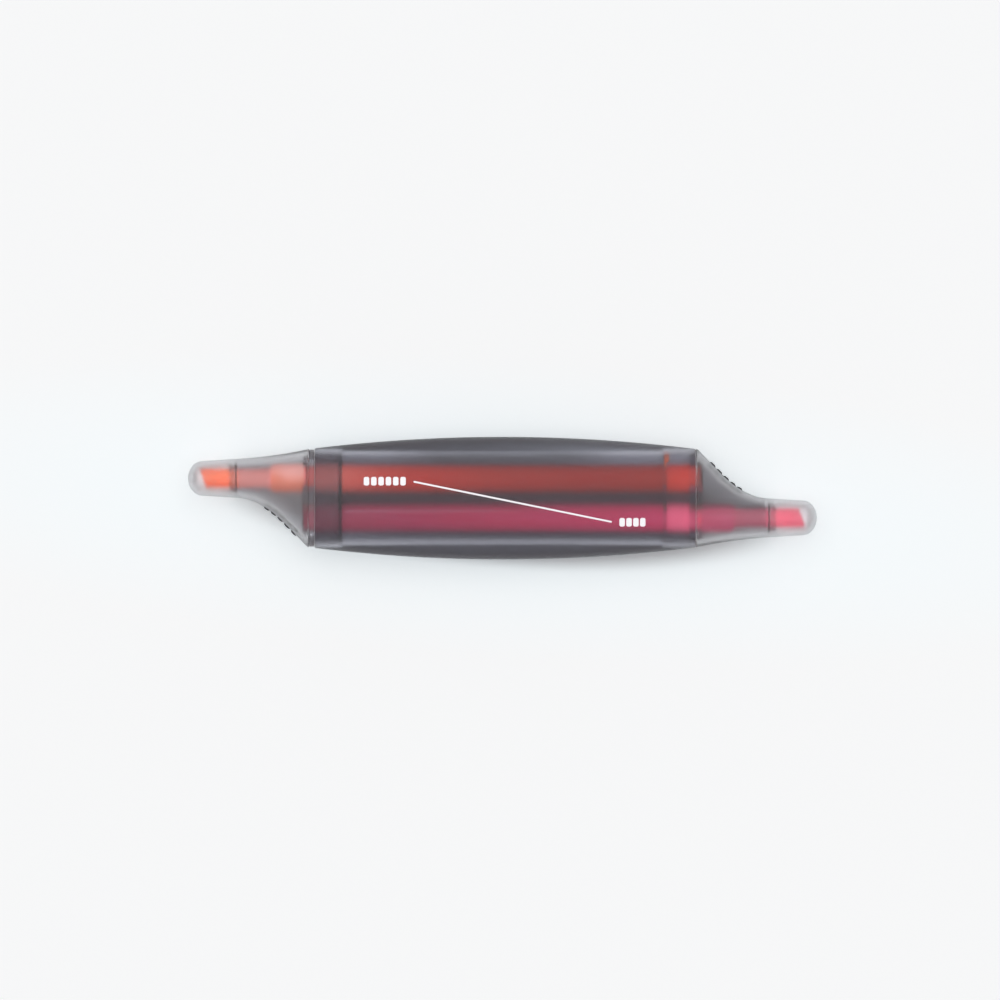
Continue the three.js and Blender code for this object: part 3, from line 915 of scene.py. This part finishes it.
def beside_nose(x, y, z):
    """Inside faces of the cap's shoulder, on the side where its hollow has room beside the nose."""
    low, high, half_height = cap_outline(x - rim)
    skin_depth = 0.5 * MM
    across = (y - (low + high) / 2) / ((high - low) / 2 - skin_depth)
    up = (z - axis_z) / (half_height - skin_depth)
    inside = math.hypot(across, up) < 1
    return inside and cap_face < x < liner_mouth - 1 * MM and y > channel_y + 2 * MM


def at_mouth(x, y, z):
    """The liner's first edge."""
    return x < liner_mouth + mouth_edge


for end in ("pink", "orange"):
    turn = end == "orange"
    cap = build(end + "_pull_cap", cap_shape(), turn)
    finish_piece(cap, cap_plastic, end + "_cap", "smoked_cap", end + "_cap")
    if end == "pink":
        # Painted shade: the pink cap's hollow beside its nose is tinted darker than the orange
        # cap's.
        recoat(cap, shaded_hollow_plastic, beside_nose)
    liner = build(end + "_liner", liner_shape(), turn)
    finish_piece(liner, liner_plastic, end + "_cap", "natural_liner", end + "_cap_liner")
    recoat(liner, mouth_plastic, at_mouth)

# %% [markdown]
# ## The print
#
# Pad printing leaves a film of ink a few hundredths of a millimetre thick that follows the
# surface. Here it is a strip of small faces laid on the barrel's top, a hair above the plastic.
# The line is one long strip. Two rows of plain rounded blocks stand where words would be. The ink
# has a faint glow, because clear plastic lets light reach it from below too.

# %% Print
PRINT_LIFT = 0.015 * MM
PRINT_DEPTH = 0.03 * MM
PRINT_GLOW = 0.45
ACROSS_STRIP = (-1.0, -0.5, 0.0, 0.5, 1.0)
ROW_POINTS = 2 * len(ACROSS_STRIP)


def barrel_top(x, y):
    half_width = end_half_width + arch(x, width_rise)
    half_height = end_half_height + arch(x, height_rise)
    return axis_z + half_height * math.sqrt(1 - (y / half_width) ** 2)


def printed_strip(name, start, end, width, steps, round_ends):
    """A strip on the barrel between two (x, y) points in millimetres, closed all round."""
    a, b = Vector(start) * MM, Vector(end) * MM
    along = (b - a).normalized()
    side = Vector((-along.y, along.x)) * width * MM / 2
    length = (b - a).length
    corner = min(round_ends * MM, length / 2)
    rows = [corner * (1 - math.cos(t)) for t in quarter_turn(4)]
    middle = [corner + (length - 2 * corner) * i / steps for i in range(1, steps)]
    places = rows + middle + [length - r for r in reversed(rows)]
    vertices, faces = [], []
    for place_along in places:
        from_end = min(place_along, length - place_along)
        pinch = 1.0
        if corner > 0 and from_end < corner:
            cut = corner - math.sqrt(max(corner**2 - (corner - from_end) ** 2, 0.0))
            pinch = max(1 - cut / (width * MM / 2), 0.1)
        for share in ACROSS_STRIP:
            spot = a + along * place_along + side * share * pinch
            top = barrel_top(spot.x, spot.y) + PRINT_LIFT
            vertices.append(Vector((spot.x, spot.y, top + PRINT_DEPTH)))
            vertices.append(Vector((spot.x, spot.y, top)))
    last_edge = ROW_POINTS - 2
    for k in range(len(places) - 1):
        for i in range(0, last_edge, 2):
            p, q = k * ROW_POINTS + i, (k + 1) * ROW_POINTS + i
            faces += [(p, p + 2, q + 2, q), (p + 1, q + 1, q + 3, p + 3)]
        for i in (0, last_edge):
            p, q = k * ROW_POINTS + i, (k + 1) * ROW_POINTS + i
            faces.append((p, q, q + 1, p + 1))
    for first in (0, (len(places) - 1) * ROW_POINTS):
        for p in range(first, first + last_edge, 2):
            faces.append((p, p + 1, p + 3, p + 2))
    return build(name, (vertices, faces))


white_print, tree, out = new_material("white_print_ink")
cover = add(tree, "ShaderNodeTexNoise", {0: place(tree), "Scale": 2.0, "Detail": 3.0}).outputs[0]
whites = {0: cover, 6: linear("#F2EFF2"), 7: linear("#FFFDFF")}
white = add(tree, "ShaderNodeMix", whites, data_type="RGBA").outputs[2]
ink_film = add(
    tree,
    "ShaderNodeBsdfPrincipled",
    {
        "Base Color": white,
        "Roughness": 0.5,
        "IOR": 1.5,
        "Emission Color": white,
        "Emission Strength": PRINT_GLOW,
    },
)
tree.links.new(ink_film.outputs[0], out.inputs["Surface"])

line_width, line_steps, line_corner = 0.38, 60, 0.1
line_start, line_end = (-19.7, 3.65), (24.2, -5.28)
line = printed_strip("printed_line", line_start, line_end, line_width, line_steps, line_corner)
finish_piece(line, white_print, "barrel", "smoked_shell")

block_length, block_height, block_steps, block_corner = 1.22, 1.9, 3, 0.4
block_rows = (("left", -30.75, 3.75, 6, 1.62), ("right", 25.9, -5.35, 4, 1.52))
for row, first_x, row_y, count, pitch in block_rows:
    for number in range(count):
        name = "printed_block_%s_%d" % (row, number + 1)
        start = (first_x + pitch * number, row_y)
        end = (start[0] + block_length, row_y)
        block = printed_strip(name, start, end, block_height, block_steps, block_corner)
        finish_piece(block, white_print, "barrel", "smoked_shell")

# %% [markdown]
# ## Raised dashes on the flanks
#
# Each cap's hollow flank carries a few raised marks where a name would be moulded. Seen from above
# they stand out from the edge as short dark dashes. Each is a small bar that follows the flank and
# is let into the plastic a little, so that no gap shows.

# %% Dashes
DASH_COUNT = 5
dash_length, dash_pitch = 1.15 * MM, 1.5 * MM
dash_proud, dash_sunk, dash_half_height = 0.3 * MM, 0.05 * MM, 0.35 * MM


def flank_point(distance, out, up):
    slope = slope_at(flank_edge, distance)
    steep = math.hypot(1, slope)
    y = cap_outline(distance)[1]
    return Vector((rim + distance + out * slope / steep, y + out / steep, axis_z + up))


def dash_shape(start):
    rings = []
    for i in range(5):
        distance = start + dash_length * i / 4
        proud = dash_proud * (0.4 if i in (0, 4) else 1.0)
        bevel = proud * 0.7
        upper_half = [(proud, 0.6), (bevel, 1.0), (-dash_sunk, 1.0)]
        corners = [(out, -up) for out, up in reversed(upper_half)] + upper_half
        rings.append([flank_point(distance, out, up * dash_half_height) for out, up in corners])
    return skin(rings)


mark_plastic, tree, out = new_material("dark_moulded_marks")
wear = add(tree, "ShaderNodeTexNoise", {0: place(tree), "Scale": 2.5, "Detail": 3.0}).outputs[0]
greys = {0: wear, 6: linear("#4A484E"), 7: linear("#66646A")}
grey = add(tree, "ShaderNodeMix", greys, data_type="RGBA").outputs[2]
finish = {"Base Color": grey, "Roughness": 0.5, "IOR": POLYPROPYLENE_IOR}
mark = add(tree, "ShaderNodeBsdfPrincipled", finish)
tree.links.new(mark.outputs[0], out.inputs["Surface"])
for end, first in (("pink", 3.2 * MM), ("orange", 2.9 * MM)):
    for number in range(DASH_COUNT):
        name = "%s_flank_dash_%d" % (end, number + 1)
        dash = build(name, dash_shape(first + dash_pitch * number), end == "orange")
        finish_piece(dash, mark_plastic, end + "_cap", "smoked_cap")

# %% [markdown]
# ## The film's seam and a creep of ink
#
# The film is rolled round the fibre and welded along one line, a thin raised strip. Its pale colour
# and glow are a painted highlight, for the light the weld catches. At the pink end a little orange
# ink has crept round the edge of the guide plate by capillary action, and has dried there. Such
# small accidents of use are what make a clear object look real.

# %% Seam
SEAM_STATIONS = 40
seam_half_width = 0.13 * MM
seam_bottom = rod_radius + 0.01 * MM
seam_top = seam_bottom + 0.03 * MM


def seam_shape(start, end, off_axis):
    """A flat weld along the film that narrows towards its end."""
    angle = math.acos(off_axis / rod_radius)
    rings = []
    for i in range(SEAM_STATIONS + 1):
        t = i / SEAM_STATIONS
        x = start + (end - start) * t
        spread = seam_half_width * (1 - 0.9 * t**3) / rod_radius
        ring = []
        for radius, turn in ((seam_bottom, -1), (seam_top, -1), (seam_top, 1), (seam_bottom, 1)):
            around = angle + spread * turn
            y, z = channel_y + radius * math.cos(around), axis_z + radius * math.sin(around)
            ring.append(Vector((x, y, z)))
        rings.append(ring)
    return skin(rings)


seam = build("pink_film_seam", seam_shape(-35 * MM, 10 * MM, 1.5 * MM))
seam_stops = [(-36, 0.35, 1), (12, 0.3, 1)]
# Painted highlight: the weld is given a pale colour and a glow.
seam_highlight_paint = ink_fibre("welded_film_edge_painted_highlight", "#F0A8BE", "#F4B4C8", "#F0A8BE", 1.0, 0.3, seam_stops)
finish_piece(seam, seam_highlight_paint, "barrel", "pink_film")

# %% Creep of ink
STAIN_STATIONS, STAIN_POINTS = 8, 12


def stain_shape():
    """A patch on the end bore's wall, wider near the guide and ragged at its ends."""
    rings = []
    for i in range(STAIN_STATIONS + 1):
        t = i / STAIN_STATIONS
        x = bore_step + (0.3 + 1.1 * t) * MM
        first = math.radians(-4 + 16 * t * t)
        last = math.radians(46 - 16 * t * t + 3 * math.sin(9 * t))
        outer, inner = [], []
        for k in range(STAIN_POINTS + 1):
            angle = first + (last - first) * k / STAIN_POINTS
            for depth, row in ((0.03 * MM, outer), (0.08 * MM, inner)):
                y = (end_bore[0] - depth) * math.cos(angle)
                row.append(Vector((x, y, axis_z + (end_bore[1] - depth) * math.sin(angle))))
        rings.append(outer + inner[::-1])
    return skin(rings)


stain = build("orange_ink_creep", stain_shape())
stain_stops = [(35, 0.95, 1), (38, 0.9, 1)]
# The dried ink's colour is a real stain; its glow is painted light.
creep_ink = ink_fibre("dried_orange_ink", "#B84A18", "#C85A20", "#B84A18", 1.0, 1.0, stain_stops)
finish_piece(stain, creep_ink, "barrel", "orange_core")

# %% [markdown]
# ## The floor
#
# The pen lies on plain white paper, which glows faintly. Round the pen the glow is held back in an
# oval that is turned to follow the line from tip to tip and shifted to the side away from the
# light: a painted shadow. Some way out from the pen the glow is full. Nearer to the pen it is a
# shade cooler, which is painted too.

# %% Floor
FLOOR_HALF = 1.5
FLOOR_DROP = 0.05 * MM
OVAL_HALF_LENGTH, OVAL_HALF_WIDTH, OVAL_Y = 50 * MM, 10.5 * MM, -2.2 * MM
TIP_X = 60 * MM
corners = ((-1, -1), (1, -1), (1, 1), (-1, 1))
floor_points = [Vector((x * FLOOR_HALF, y * FLOOR_HALF, -FLOOR_DROP)) for x, y in corners]
floor = build("paper_floor", (floor_points, [(0, 1, 2, 3)]))
white_paper, tree, out = new_material("white_paper")
tooth = add(tree, "ShaderNodeTexNoise", {0: place(tree), "Scale": 0.5, "Detail": 4.0}).outputs[0]
relief = {"Height": tooth, "Strength": 0.02, "Distance": 0.1 * MM}
spot = add(tree, "ShaderNodeTexCoord").outputs["Object"]
painted_shadow_frame = {
    0: spot,
    "Location": (0, OVAL_Y, 0),
    "Rotation": (0, 0, math.atan(channel_y / TIP_X)),
    "Scale": (OVAL_HALF_LENGTH, OVAL_HALF_WIDTH, 1),
}
spot = add(tree, "ShaderNodeMapping", painted_shadow_frame, vector_type="TEXTURE").outputs[0]
distance = add(tree, "ShaderNodeVectorMath", {0: spot}, operation="LENGTH")
off_centre = distance.outputs["Value"]
# Painted shadow: the glow is faint inside the oval and full outside it; the cooler tint near the
# pen is painted as well.
fade = {0: off_centre, 1: 0.95, 2: 1.35, 3: 0.07, 4: 0.47}
lit = add(tree, "ShaderNodeMapRange", fade, interpolation_type="SMOOTHSTEP").outputs[0]
away = add(tree, "ShaderNodeMapRange", {0: off_centre, 1: 1.2, 2: 3.2}).outputs[0]
tones = {0: away, 6: linear("#EBF6F9"), 7: linear("#F0EFEE")}
paper = add(
    tree,
    "ShaderNodeBsdfPrincipled",
    {
        "Base Color": linear("#F7F8F8"),
        "Roughness": 0.9,
        "Specular IOR Level": 0.2,
        "Normal": add(tree, "ShaderNodeBump", relief).outputs[0],
        "Emission Color": add(tree, "ShaderNodeMix", tones, data_type="RGBA").outputs[2],
        "Emission Strength": lit,
    },
)
tree.links.new(paper.outputs[0], out.inputs["Surface"])
floor.data.materials.append(white_paper)
print("the floor is", 2 * FLOOR_HALF, "m wide")

# %% [markdown]
# ## The light
#
# One large softbox hangs overhead, a little towards the orange nib's side, so the shadow falls
# softly to the other side. It is part of the sky, not a lamp: every ray that leaves the clear
# plastic then finds some light. A paler band along the horizon lights the edges.

# %% Light
world = bpy.data.worlds.new("soft_sky")
bpy.context.scene.world = world
world.use_nodes = True
sky = world.node_tree
sky.nodes.clear()
direction = add(sky, "ShaderNodeTexCoord").outputs["Generated"]
towards = Vector((-0.03, 0.22, 0.97)).normalized()
facing = add(sky, "ShaderNodeVectorMath", {0: direction, 1: towards}, operation="DOT_PRODUCT")
fade = {0: facing.outputs["Value"], 1: 0.62, 2: 0.93, 3: 0.3, 4: 1.0}
softbox = add(sky, "ShaderNodeMapRange", fade, interpolation_type="SMOOTHSTEP").outputs[0]
height = add(sky, "ShaderNodeSeparateXYZ", {0: direction}).outputs[2]
fade = {0: height, 1: 0.1, 2: 0.25, 3: 0.5, 4: 0.0}
horizon = add(sky, "ShaderNodeMapRange", fade, interpolation_type="SMOOTHSTEP").outputs[0]
share = add(sky, "ShaderNodeMath", {0: softbox, 1: horizon}, operation="MAXIMUM").outputs[0]
background = add(sky, "ShaderNodeBackground", {"Color": linear("#FCFDFF"), "Strength": share})
sky_out = sky.nodes.new("ShaderNodeOutputWorld")
sky.links.new(background.outputs[0], sky_out.inputs["Surface"])
print("the softbox hangs towards", [round(v, 2) for v in towards])

# %% [markdown]
# ## The camera
#
# The camera hangs straight above the pen with a long lens, so that near and far parts of the pen
# keep their true proportions. It sits a hair off the pen's middle. Light crosses many layers of
# plastic here, so rays are allowed many bounces.

# %% Camera
frame_width = 222.6 * MM
lens, sensor = 200.0, 36.0
camera_data = bpy.data.cameras.new("overhead_camera")
camera_data.lens = lens
camera_data.sensor_width = sensor
camera_data.clip_end = 20
camera = bpy.data.objects.new("overhead_camera", camera_data)
camera.location = (-0.56 * MM, -0.42 * MM, axis_z + frame_width * lens / sensor)

scene = bpy.context.scene
scene.collection.objects.link(camera)
scene.camera = camera
scene.view_settings.view_transform = "Standard"
scene.cycles.max_bounces = 24
scene.cycles.transmission_bounces = 24
scene.cycles.glossy_bounces = 8
scene.cycles.diffuse_bounces = 6
print("the camera hangs", round(camera.location.z, 3), "m above the floor")
